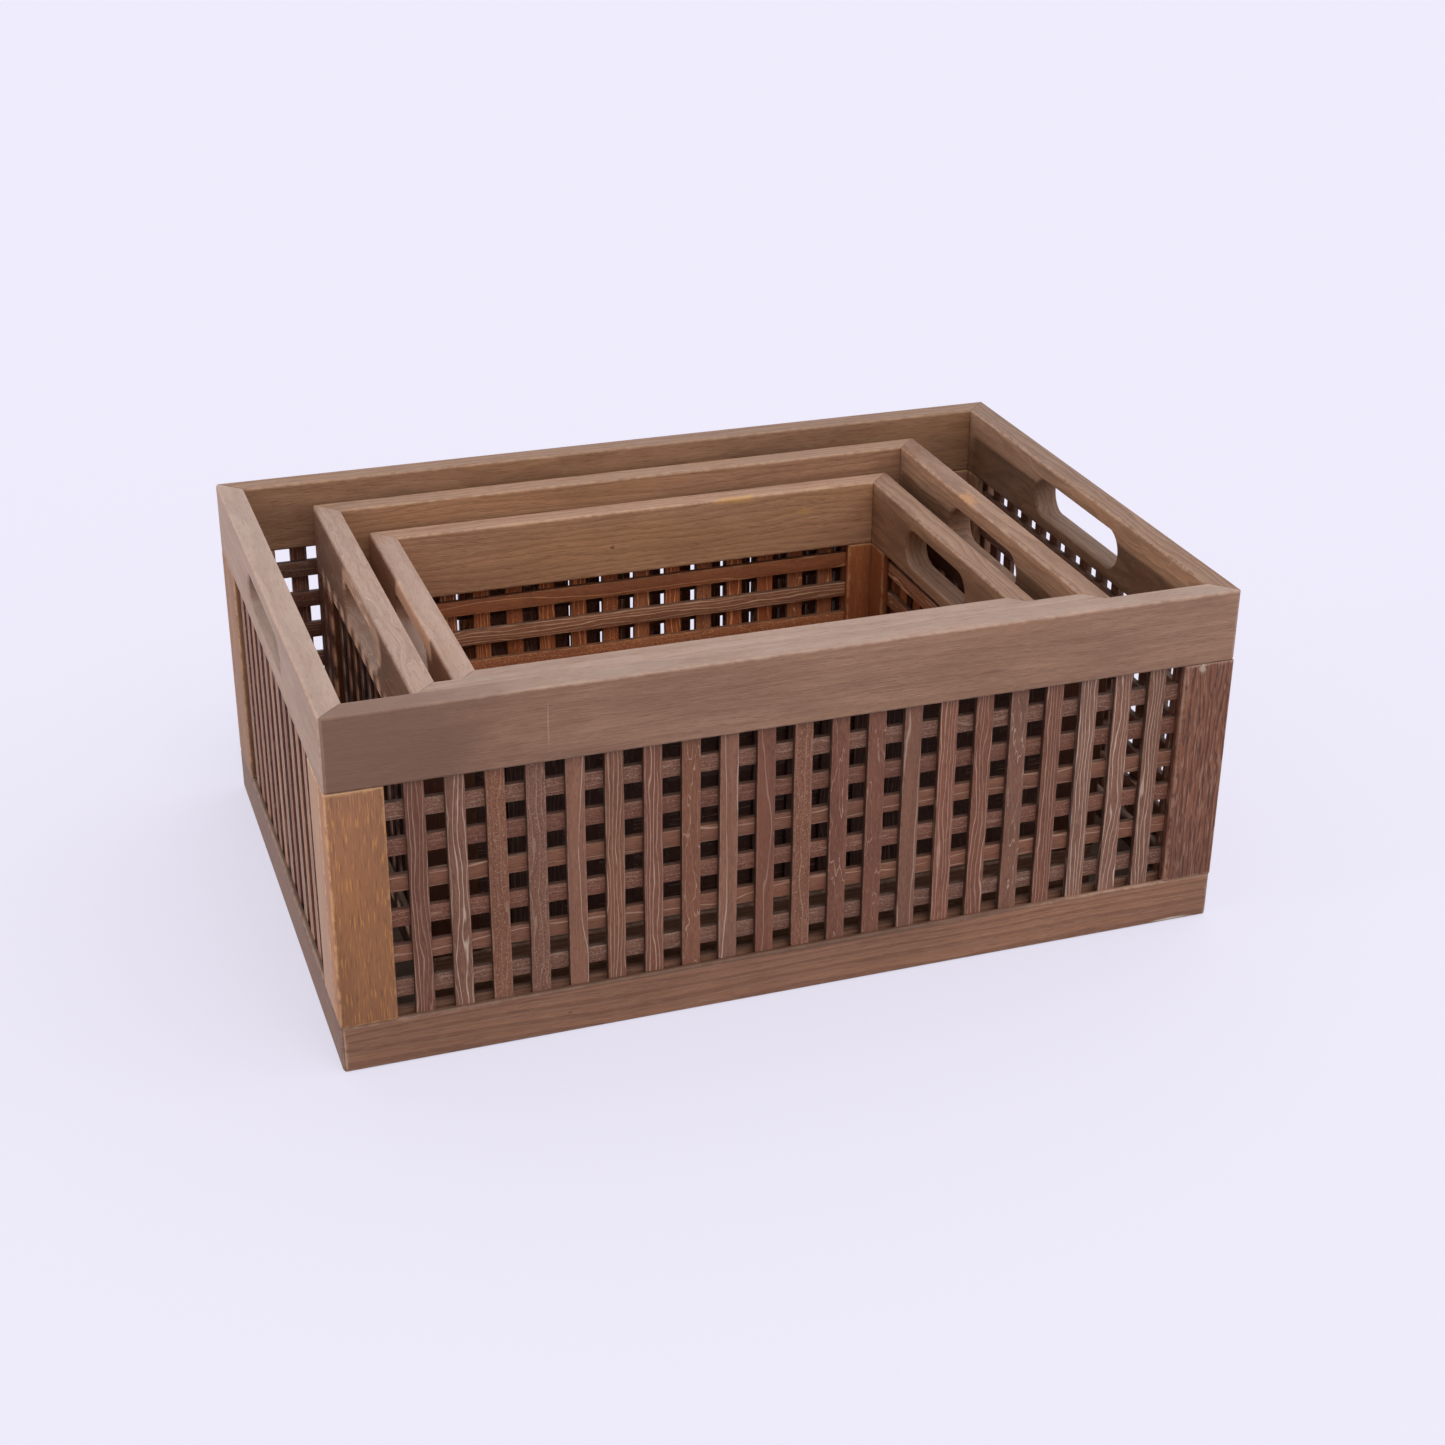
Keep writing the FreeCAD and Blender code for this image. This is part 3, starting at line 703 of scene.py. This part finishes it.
@dataclass
class WoodShop:
    """Makes materials of wood from the finishes and the shared groups."""

    grain: WoodGrain = field(default_factory=WoodGrain)
    wear: EdgeWear = field(default_factory=EdgeWear)
    grime: SideGrime = field(default_factory=SideGrime)
    fade: TopFade = field(default_factory=TopFade)
    seam: MitreSeam = field(default_factory=MitreSeam)
    patch: Patch = field(default_factory=Patch)
    made: dict[str, bpy.types.Material] = field(default_factory=dict)

    def board(self, name: str, finish: WoodFinish, run: Axis, box: Box,
              share: Share = PLAIN_SHARE, frame_box: Optional[Box] = None) -> bpy.types.Material:
        """Makes the material of one board.

        Args:
            name: The material's name, which also sets where its figure is cut from.
            finish: The kind of wood.
            run: The direction of its grain.
            box: The board's lowest and highest corners.
            share: How light it is at its ends, and the marks on it.
            frame_box: The box of the mitred frame that the board belongs to, if any.

        Returns:
            The material.
        """
        graph, material = new_material(name)
        place = graph.add("ShaderNodeTexCoord").outputs["Object"]
        luck = random.Random(name)
        shift = Vector([luck.uniform(-1.0, 1.0) for _ in range(3)])
        along = self.turned(graph, place, run, shift)
        low, high = box
        middle, half = middle_and_half(box)
        wear = self.wear.place(graph, vector=place, centre=middle, half_size=half)["Wear"]
        light = luck.uniform(0.96, 1.04)
        part = graph.split(place)[run.value]
        light = graph.ramp(part, low[run.value], high[run.value], light * share.low_end,
                           light * share.high_end)
        angle = luck.uniform(0.0, math.tau)
        heart = Euler(TURNS[run]).to_matrix() @ middle + shift
        heart = heart / MM + Vector((0.0, math.cos(angle), math.sin(angle))) * finish.heart
        colour, rough, height = self.figure(graph, finish, along, place, wear,
                                            graph.gather(light, light, light), heart)
        for mark in share.marks:
            middle, half = mark.place(box, run)
            mask = self.patch.place(graph, vector=place, place=middle, half_size=half,
                                    raggedness=mark.raggedness)["Mask"]
            colour = graph.lay(colour, mark.colour, mask, mark.strength)
        if frame_box:
            middle, half = middle_and_half(frame_box)
            seam = self.seam.place(graph, vector=place, centre=middle, half_size=half)["Seam"]
            colour = graph.lay(colour, finish.dark, seam, finish.seam_strength)
        self.surface(graph, finish, colour, rough, height)
        return material

    def strips(self, name: str, finish: WoodFinish, run: Axis) -> bpy.types.Material:
        """Makes the material of lattice strips, each of which carries its own shift and tone."""
        if name in self.made:
            return self.made[name]
        graph, material = new_material(name)
        place = graph.add("ShaderNodeTexCoord").outputs["Object"]
        shift, tone, centre, half = (
            graph.add("ShaderNodeAttribute", attribute_name=word).outputs["Vector"]
            for word in STRIP_WORDS)
        moved = graph.vector("ADD", place, shift)
        along = self.turned(graph, moved, run, Vector(ORIGIN))
        wear = self.wear.place(graph, vector=place, centre=centre, half_size=half,
                               reach=STRIP_WEAR)["Wear"]
        colour, rough, height = self.figure(graph, finish, along, place, wear, tone)
        # Painted shade: the strips' narrow sides are darkened, standing in for the shade between
        # them.
        grime = self.grime.place(graph, vector=place, half_size=half)["Grime"]
        colour = graph.lay(colour, self.grime.colour, grime, self.grime.strength)
        self.surface(graph, finish, colour, rough, height)
        self.made[name] = material
        return material

    def turned(self, graph: Graph, place: Source, run: Axis, shift: Vector) -> Source:
        """Turns and shifts the coordinates so that the grain runs along X."""
        node = graph.add("ShaderNodeMapping", vector_type="POINT")
        graph.feed(node.inputs["Vector"], place)
        node.inputs["Location"].default_value = shift
        node.inputs["Rotation"].default_value = TURNS[run]
        return node.outputs[0]

    def figure(self, graph: Graph, finish: WoodFinish, along: Source, place: Source,
               wear: Source, tone: Source, heart: Sequence[float] = ORIGIN,
               ) -> tuple[Source, Source, Source]:
        """Lays the layers of the wood's figure over each other.

        Args:
            graph: The material's graph.
            finish: The kind of wood.
            along: Coordinates with the grain along X.
            place: The piece's own coordinates.
            wear: How rubbed the point is, from 0 to 1.
            tone: A colour that multiplies the wood's own.
            heart: Where the heart of the tree lies, in millimetres, with the grain along X.

        Returns:
            The colour, the roughness and the height of the surface.
        """
        figure = self.grain.place(graph, vector=along, heart_y=heart[1], heart_z=heart[2],
                                  **{word: getattr(finish, word) for word in GRAIN_MEASURES})
        unblotched = graph.math("SUBTRACT", 1.0, figure["Blotch"])
        fibre = graph.math("MULTIPLY", figure["Fibre"], finish.fibre_strength)
        colour = graph.mix(fibre, finish.middle, finish.light)
        # Painted sheen: upward faces are laid paler and greyer, standing in for the light on them.
        fade = self.fade.place(graph, vector=place)["Fade"]
        for mask, strength, over in (
                (unblotched, finish.blotch_strength, finish.dark),
                (figure["Drift"], finish.drift_strength, finish.warm),
                (fade, finish.fade_strength, finish.faded),
                (figure["Rings"], finish.ring_strength, finish.dark),
                (figure["Pores"], finish.pore_strength, finish.dark),
                (figure["Dashes"], finish.dash_strength, finish.line),
                (figure["Lines"], finish.line_strength, finish.line)):
            colour = graph.lay(colour, over, mask, strength)
        colour = graph.lay(colour, finish.worn, wear, finish.wear_strength)
        colour = graph.mix(1.0, colour, tone, "MULTIPLY")

        rough = graph.math("MULTIPLY_ADD", figure["Fibre"], FIBRE_ROUGHNESS,
                           finish.roughness - FIBRE_ROUGHNESS / 2)
        rough = graph.math("MULTIPLY_ADD", wear, WEAR_ROUGHNESS, rough)
        height = 0.0
        for layer, relief in RELIEFS.items():
            height = graph.math("MULTIPLY_ADD", figure[layer], relief, height)
        return colour, rough, height

    def surface(self, graph: Graph, finish: WoodFinish, colour: Source, rough: Source,
                height: Source) -> None:
        """Joins the colour, the roughness and the height to the surface."""
        bump = graph.add("ShaderNodeBump")
        bump.inputs["Strength"].default_value = finish.bump
        bump.inputs["Distance"].default_value = finish.bump_depth
        graph.feed(bump.inputs["Height"], height)
        surface = graph.add("ShaderNodeBsdfPrincipled")
        graph.feed(surface.inputs["Base Color"], colour)
        graph.feed(surface.inputs["Roughness"], rough)
        graph.feed(surface.inputs["Normal"], bump.outputs[0])
        surface.inputs["Specular IOR Level"].default_value = finish.gloss
        graph.end("ShaderNodeOutputMaterial", surface.outputs[0])


# Modelling

@contextmanager
def edit_mode() -> Iterator[None]:
    """Opens the active piece's mesh for editing, and closes it afterwards."""
    bpy.ops.object.mode_set(mode="EDIT")
    yield
    bpy.ops.object.mode_set(mode="OBJECT")


class Bench:
    """The operators used on every piece."""

    @staticmethod
    def select_only(*objects: Piece) -> None:
        """Selects these objects and nothing else; the first one is active."""
        bpy.ops.object.select_all(action="DESELECT")
        for thing in objects:
            thing.select_set(True)
        bpy.context.view_layer.objects.active = objects[0]

    @staticmethod
    def merged_copy(node: str, name: str, part: Optional[Box] = None) -> Piece:
        """Copies a node's solid and joins its loose triangles into clean faces.

        Args:
            node: The node's name.
            name: The new piece's name.
            part: The box of the one solid that is wanted, where the node has more.

        Returns:
            The new piece.
        """
        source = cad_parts[node]
        piece = bpy.data.objects.new(name, source.data.copy())
        bpy.context.scene.collection.objects.link(piece)
        piece.data.materials.clear()
        Bench.select_only(piece)
        if part:
            Bench.cut_out(piece, part)
        with edit_mode():
            bpy.ops.mesh.select_all(action="SELECT")
            bpy.ops.mesh.remove_doubles(threshold=WELD)
            bpy.ops.mesh.customdata_custom_splitnormals_clear()
            bpy.ops.mesh.dissolve_limited(angle_limit=FLAT)
        return piece

    @staticmethod
    def cut_out(piece: Piece, part: Box) -> None:
        """Deletes the triangles that don't belong to the solid inside a box."""
        with edit_mode():
            bpy.ops.mesh.select_mode(type="FACE")
            work = bmesh.from_edit_mesh(piece.data)
            for triangle in work.faces:
                inner = triangle.calc_center_median() - triangle.normal * JUST_INSIDE
                held = all(part[0][i] < inner[i] < part[1][i] for i in range(3))
                triangle.select_set(not held)
            bmesh.update_edit_mesh(piece.data)
            bpy.ops.mesh.delete(type="FACE")

    @staticmethod
    def join(name: str, parts: Sequence[Piece]) -> Piece:
        """Joins pieces into the first of them and names the result."""
        Bench.select_only(*parts)
        bpy.ops.object.join()
        piece = bpy.context.object
        piece.name = name
        return piece

    @staticmethod
    def soften(piece: Piece, width: float) -> None:
        """Rounds a piece's sharp arrises a little and smooths its curved faces."""
        Bench.select_only(piece)
        bevel = piece.modifiers.new("arrises", "BEVEL")
        bevel.width = width
        bevel.segments = 2
        bevel.limit_method = "ANGLE"
        bevel.angle_limit = CREASE
        bpy.ops.object.modifier_apply(modifier=bevel.name)
        bpy.ops.object.shade_smooth_by_angle(angle=CREASE)

    @staticmethod
    def solids(node: str) -> list[Box]:
        """Finds the boxes of the separate solids in a node, in order of place."""
        work = bmesh.new()
        work.from_mesh(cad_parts[node].data)
        bmesh.ops.remove_doubles(work, verts=work.verts, dist=WELD)
        unseen = set(work.verts)
        boxes = []
        while unseen:
            island = [unseen.pop()]
            for corner in island:
                for edge in corner.link_edges:
                    other = edge.other_vert(corner)
                    if other in unseen:
                        unseen.discard(other)
                        island.append(other)
            boxes.append(box_around([corner.co for corner in island]))
        work.free()
        return sorted(boxes, key=lambda box: tuple(round(value, 5) for value in box[0]))


@dataclass(frozen=True)
class StripWood:
    """The figure and tone of one lattice strip, and how light it is."""

    figure: Figure
    tone: Tone
    level: float = 1.0


@dataclass
class Strip:
    """A lattice strip, modelled once and copied to every place.

    curled_cuts and upright_cuts are how far from the heart of a log it may be sawn, in
    millimetres, and log_length is in metres.
    """

    arris: float = 0.35 * MM
    cuts: int = 14
    margin: float = 0.1 * MM
    wander: float = 0.22 * MM
    waves: float = 5.0
    lean: float = 0.35 * MM
    log_length: float = 3.0
    curled_cuts: tuple[float, float] = (28.0, 60.0)
    upright_cuts: tuple[float, float] = (150.0, 900.0)
    unlikeness: float = 0.06
    pattern: Optional[Piece] = None

    def model(self) -> None:
        """Models the strip as a unit block, cut up along its length so that it can bend."""
        bpy.ops.mesh.primitive_cube_add(size=1.0)
        self.pattern = bpy.context.object
        with edit_mode():
            bpy.ops.mesh.select_all(action="DESELECT")
            bpy.ops.mesh.select_mode(type="EDGE")
            work = bmesh.from_edit_mesh(self.pattern.data)
            for edge in work.edges:
                first, second = (corner.co for corner in edge.verts)
                edge.select_set(abs(first.x - second.x) > 0.5)
            bmesh.update_edit_mesh(self.pattern.data)
            bpy.ops.mesh.subdivide_edgering(number_cuts=self.cuts, smoothness=0.0)

    def lay(self, box: Box, run: Axis, luck: random.Random, wood: StripWood) -> Piece:
        """Lays one strip into the place that its solid gives.

        Args:
            box: The solid's lowest and highest corners.
            run: The strip's long direction.
            luck: The source of its small unevenness.
            wood: The figure and tone of its wood.

        Returns:
            The strip, with its own mesh.
        """
        low, high = box
        centre, size = (low + high) / 2, high - low
        wide, thin = run.across(size)
        strip = bpy.data.objects.new("strip", self.pattern.data.copy())
        bpy.context.scene.collection.objects.link(strip)
        phase = Vector([luck.uniform(0, 100) for _ in range(3)])
        lean = luck.uniform(-self.lean, self.lean)
        for corner in strip.data.vertices:
            along, across, deep = corner.co
            place = Vector(ORIGIN)
            place[run.value] = along * size[run.value]
            edge = 1.0 if across > 0 else -1.0
            drift = noise.noise(phase + Vector((along * self.waves, edge, 0.0))) * self.wander
            place[wide] = across * (size[wide] - 2 * self.margin) + drift + lean * along
            place[thin] = deep * size[thin]
            corner.co = centre + place
        Bench.select_only(strip)
        with edit_mode():
            bpy.ops.mesh.select_all(action="SELECT")
            bpy.ops.mesh.normals_make_consistent(inside=False)
        self.mark(strip, luck, wood, centre, size / 2, (run.value, wide, thin))
        return strip

    def mark(self, strip: Piece, luck: random.Random, wood: StripWood, centre: Vector,
             half: Vector, axes: tuple[int, int, int]) -> None:
        """Writes the strip's own shift, tone, centre and half size on its mesh.

        Args:
            strip: The strip.
            luck: The source of the place that its figure is cut from.
            wood: The figure and tone of its wood.
            centre: The strip's middle.
            half: Half of its size.
            axes: Which way it is long, wide and thin.
        """
        long_way, wide_way, thin_way = axes
        shift = -centre
        shift[long_way] += luck.uniform(-self.log_length, self.log_length)
        cut_way, cuts = wide_way, self.upright_cuts
        if wood.figure is Figure.CURLED:
            cut_way, cuts = thin_way, self.curled_cuts
        shift[cut_way] += luck.choice((-1, 1)) * luck.uniform(*cuts) * MM
        level = luck.uniform(1.0 - self.unlikeness, 1.0 + self.unlikeness) * wood.level
        tone = [part * level for part in wood.tone.value]
        count = len(strip.data.vertices)
        for name, value in zip(STRIP_WORDS, (shift, tone, centre, half)):
            attribute = strip.data.attributes.new(name, "FLOAT_VECTOR", "POINT")
            attribute.data.foreach_set("vector", list(value) * count)


FINE, BOLD, PLAIN, FLECKED, CURLED = Figure
GREY, RED, WARM, PALE, ORANGE, AMBER, TAN = Tone

CHOSEN_STRIPS: dict[str, tuple[StripWood, ...]] = {
    node: tuple(StripWood(*row) for row in rows) for node, rows in {
        "large_slats_front": (
            (FINE, RED, 0.80), (BOLD, GREY), (FLECKED, WARM), (FLECKED, GREY),
            (PLAIN, PALE, 0.96), (FINE, WARM, 0.92), (FINE, RED), (CURLED, WARM),
            (PLAIN, PALE), (PLAIN, RED, 1.1), (FLECKED, WARM), (CURLED, RED), (CURLED, RED),
            (PLAIN, GREY), (FINE, RED, 1.22), (BOLD, RED), (CURLED, GREY), (FINE, RED),
            (FINE, PALE), (BOLD, PALE), (FINE, GREY)),
        "large_bars_long": (
            (FLECKED, GREY), (PLAIN, WARM), (FLECKED, RED), (PLAIN, WARM),
            (FLECKED, RED, 0.9), (FLECKED, GREY, 1.05)),
    }.items()
}
# Painted shade: the walls of the inner crates are laid darker, standing in for the shade inside the
# crates around them.
PAINTED_SHADE_LEVELS: dict[str, float] = {
    "middle_slats_front": 0.32, "middle_slats_left": 0.45, "middle_slats_right": 0.7,
    "middle_bars_short": 0.6, "middle_bars_long": 0.45, "small_slats_front": 0.6,
    "small_slats_left": 0.6,
}
TONES: dict[str, tuple[Tone, ...]] = {
    "large": (GREY, RED, WARM, PALE, RED),
    "middle": (WARM, RED, RED, AMBER),
    "small": (ORANGE, AMBER, ORANGE),
    "small_bars": (TAN, TAN, AMBER),
}


@dataclass
class CrateLook:
    """One crate of the nest: its boards, its lattice and its floor."""

    name: str
    shop: WoodShop
    strip: Strip
    arris: float = 0.5 * MM
    board_thickness: float = 13.2 * MM

    @property
    def body(self) -> str:
        """The name of the body that the crate moves with."""
        return f"{self.name}_crate"

    def build(self) -> None:
        """Builds and dresses every part of the crate."""
        self.build_frames()
        self.build_posts()
        self.build_lattice()
        self.build_floor()
        LOG.info("%s crate built", self.name)

    def keep(self, piece: Piece, node: str) -> None:
        """Makes a piece stand for a node and ride on the crate."""
        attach(piece, self.body)
        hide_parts(node)
        LOG.info("%s made", piece.name)

    def make_board(self, node: str, finish: WoodFinish, run: Axis, word: str = "",
                   part: Optional[Box] = None, frame_box: Optional[Box] = None) -> Piece:
        """Makes and dresses one board.

        Args:
            node: The node that the board is in.
            finish: The kind of wood.
            run: The direction of its grain.
            word: What tells it from the node's other boards, if there are any.
            part: The box of its own solid, where the node has more.
            frame_box: The box of the mitred frame that it belongs to, if any.

        Returns:
            The board.
        """
        name = f"{node}_{word}" if word else node
        board = Bench.merged_copy(node, f"{name}_board", part)
        Bench.soften(board, self.arris)
        board.data.materials.append(self.shop.board(
            f"{name}_wood", finish, run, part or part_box(node),
            BOARD_SHARES.get(node, PLAIN_SHARE), frame_box))
        return board

    def build_frames(self) -> None:
        """Builds the rim and the base frame."""
        for part in ("rim", "base"):
            nodes = {side: f"{self.name}_{part}_{side.word}" for side in Side}
            frame_box = box_around([corner for node in nodes.values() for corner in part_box(node)])
            for side, node in nodes.items():
                board = self.make_board(node, self.frame_finish(part, side), side.run,
                                        frame_box=frame_box)
                self.keep(board, node)

    def frame_finish(self, part: str, side: Side) -> WoodFinish:
        """Returns the wood of one board of the rim or the base frame."""
        if part == "base":
            return DARK_BASE_WOOD if side in (Side.LEFT, Side.RIGHT) else BASE_WOOD
        if side is Side.LEFT:
            return LEFT_RIM_WOODS.get(self.name, RIM_WOOD)
        return RIM_WOODS.get(side, RIM_WOOD)

    def build_posts(self) -> None:
        """Builds the four corner posts, each of a face board and a side board."""
        for corner in ("front_left", "front_right", "back_left", "back_right"):
            node = f"{self.name}_post_{corner}"
            face, side, slot = self.post_finishes(corner)
            boards = [self.make_board(node, finish, Axis.Z, word, box) for word, finish, box
                      in zip(("face", "side"), (face, side), self.post_boxes(node))]
            self.keep(Bench.join(f"{node}_boards", boards), node)

    def post_boxes(self, node: str) -> tuple[Box, Box]:
        """Returns the boxes of a post's face board and side board, in that order."""
        low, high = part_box(node)
        face = (low.copy(), high.copy())
        side = (low.copy(), high.copy())
        if "front" in node:
            face[1].y = side[0].y = low.y + self.board_thickness
        else:
            face[0].y = side[1].y = high.y - self.board_thickness
        if "left" in node:
            side[1].x = low.x + self.board_thickness
        else:
            side[0].x = high.x - self.board_thickness
        return face, side

    def post_finishes(self, corner: str) -> tuple[WoodFinish, WoodFinish, str]:
        """Returns the woods of a post's face board and side board, and their slot."""
        if self.name == "large":
            if corner == "front_left":
                return GOLD_WOOD, PALE_WOOD, "post_wood"
            if corner == "front_right":
                return RED_WOOD, RED_WOOD, "post_red_wood"
            return BROWN_WOOD, BROWN_WOOD, "post_wood"
        return ORANGE_WOOD, ORANGE_WOOD, "post_wood"

    def build_lattice(self) -> None:
        """Builds the upright slats of each wall and the level bars behind them."""
        for side in Side:
            self.lay_strips(f"{self.name}_slats_{side.word}", Axis.Z)
        self.lay_strips(f"{self.name}_bars_long", Axis.X)
        self.lay_strips(f"{self.name}_bars_short", Axis.Y)

    def lay_strips(self, node: str, run: Axis) -> None:
        """Lays a group of strips and joins them into one piece.

        Args:
            node: The node that they stand for.
            run: The direction of each strip.
        """
        tones = TONES["small_bars" if node.startswith("small_bars") else self.name]
        chosen = CHOSEN_STRIPS.get(node, ())
        strips = []
        for number, box in enumerate(Bench.solids(node)):
            luck = random.Random(f"{node}{number}")
            # The level carries the painted shade of the inner crates' walls.
            wood = StripWood(luck.choice(list(Figure)), luck.choice(tones),
                             luck.uniform(0.9, 1.1) * PAINTED_SHADE_LEVELS.get(node, 1.0))
            if number < len(chosen):
                wood = chosen[number]
            strip = self.strip.lay(box, run, luck, wood)
            strip.data.materials.append(self.shop.strips(
                f"lattice_{wood.figure.value}_{run.name.lower()}", FIGURES[wood.figure], run))
            strips.append(strip)
        piece = Bench.join(f"{node}_strips", strips)
        Bench.soften(piece, self.strip.arris)
        self.keep(piece, node)

    def build_floor(self) -> None:
        """Builds the floor panel."""
        node = f"{self.name}_floor_panel"
        self.keep(self.make_board(node, FLOOR_WOOD, Axis.X), node)


# Studio

@dataclass(frozen=True)
class BroadLamp:
    """A large, far and even studio lamp.

    Its level is 1 where it alone makes a colour that faces it render as it is written.
    """

    name: str
    comes_from: Triple
    level: float
    spread: float

    def light(self) -> None:
        """Turns the lamp to shine from its side."""
        lamp = bpy.data.lights.new(self.name, "SUN")
        lamp.energy = math.pi * self.level
        lamp.angle = math.radians(self.spread)
        holder = bpy.data.objects.new(self.name, lamp)
        bpy.context.scene.collection.objects.link(holder)
        holder.location = Vector(self.comes_from) * 2
        holder.rotation_euler = Vector(self.comes_from).to_track_quat("Z", "Y").to_euler()


@dataclass(frozen=True)
class Studio:
    """The floor, the lamps, the surrounding light and the camera."""

    backdrop: Colour = (0.880, 0.856, 0.988)
    paper: Colour = (0.850, 0.826, 0.955)
    floor_bounce: Colour = (0.16, 0.155, 0.17)
    floor_half: float = 9.0
    floor_gap: float = 0.1 * MM
    shadow_share: float = 0.4
    surround: float = 0.80
    surround_colour: Colour = (0.98, 0.98, 1.0)
    surround_lean: Triple = (0.50, -0.12, 0.0)
    camera_place: Triple = (-0.3570, -1.0494, 0.6242)
    camera_look: Triple = (0.29671, 0.84559, -0.44378)
    camera_roll: float = 0.00806
    lens: float = 58.15
    lamps: tuple[BroadLamp, ...] = (
        BroadLamp("high_lamp", (0.0, -0.45, 0.89), 0.20, 30.0),
        BroadLamp("left_lamp", (-0.998, 0.0, 0.055), 0.48, 6.0),
    )

    def build(self) -> None:
        """Builds the whole studio."""
        self.lay_floor()
        self.light_surround()
        for lamp in self.lamps:
            lamp.light()
        self.set_camera()
        bpy.context.scene.view_settings.view_transform = "Standard"
        LOG.info("studio built")

    def lay_floor(self) -> None:
        """Lays a pale floor that keeps a soft shadow."""
        bpy.ops.mesh.primitive_plane_add(size=2 * self.floor_half,
                                         location=(0.0, 0.0, -self.floor_gap))
        floor = bpy.context.object
        floor.name = "studio_floor"
        bpy.ops.object.transform_apply(location=True, rotation=True, scale=True)
        graph, material = new_material("studio_floor_paper")
        path = graph.add("ShaderNodeLightPath").outputs
        seen = graph.math("MAXIMUM", path["Is Camera Ray"], path["Is Glossy Ray"])
        matt = graph.add("ShaderNodeBsdfDiffuse")
        graph.feed(matt.inputs["Color"], graph.mix(seen, self.floor_bounce, self.paper))
        glow = graph.add("ShaderNodeEmission")
        glow.inputs["Color"].default_value = (*self.backdrop, 1.0)
        mixed = graph.fill(graph.add("ShaderNodeMixShader"),
                           graph.math("MULTIPLY", seen, 1.0 - self.shadow_share),
                           matt.outputs[0], glow.outputs[0])
        graph.end("ShaderNodeOutputMaterial", mixed)
        floor.data.materials.append(material)

    def light_surround(self) -> None:
        """Lights the scene evenly from all round, and shows the backdrop's colour behind it."""
        world = bpy.data.worlds.new("studio_surround")
        bpy.context.scene.world = world
        world.use_nodes = True
        graph = Graph(world.node_tree)
        soft = graph.add("ShaderNodeBackground")
        soft.inputs["Color"].default_value = (*self.surround_colour, 1.0)
        side = graph.vector("MULTIPLY", graph.add("ShaderNodeTexCoord").outputs["Generated"],
                            self.surround_lean)
        x, y, z = graph.split(side)
        lean = graph.math("ADD", graph.math("ADD", x, y), graph.math("ADD", z, 1.0))
        graph.feed(soft.inputs["Strength"], graph.math("MULTIPLY", lean, self.surround))
        shown = graph.add("ShaderNodeBackground")
        shown.inputs["Color"].default_value = (*self.backdrop, 1.0)
        shown.inputs["Strength"].default_value = 1.0
        seen = graph.add("ShaderNodeLightPath").outputs["Is Camera Ray"]
        mixed = graph.fill(graph.add("ShaderNodeMixShader"), seen, soft.outputs[0],
                           shown.outputs[0])
        graph.end("ShaderNodeOutputWorld", mixed)

    def set_camera(self) -> None:
        """Stands the camera in its place."""
        data = bpy.data.cameras.new("studio_camera")
        data.sensor_width = 36.0
        data.lens = self.lens
        camera = bpy.data.objects.new("studio_camera", data)
        bpy.context.scene.collection.objects.link(camera)
        turn = Vector(self.camera_look).to_track_quat("-Z", "Y").to_matrix().to_4x4()
        roll = Matrix.Rotation(self.camera_roll, 4, "Z")
        camera.matrix_world = Matrix.Translation(self.camera_place) @ turn @ roll
        bpy.context.scene.camera = camera


def main() -> None:
    """Builds the crates and the studio."""
    logging.basicConfig(level=logging.INFO, format="%(name)s: %(message)s")
    shop = WoodShop()
    strip = Strip()
    strip.model()
    for name in ("large", "middle", "small"):
        CrateLook(name, shop, strip).build()
    bpy.data.objects.remove(strip.pattern)
    Studio().build()


if __name__ == "__main__":
    main()
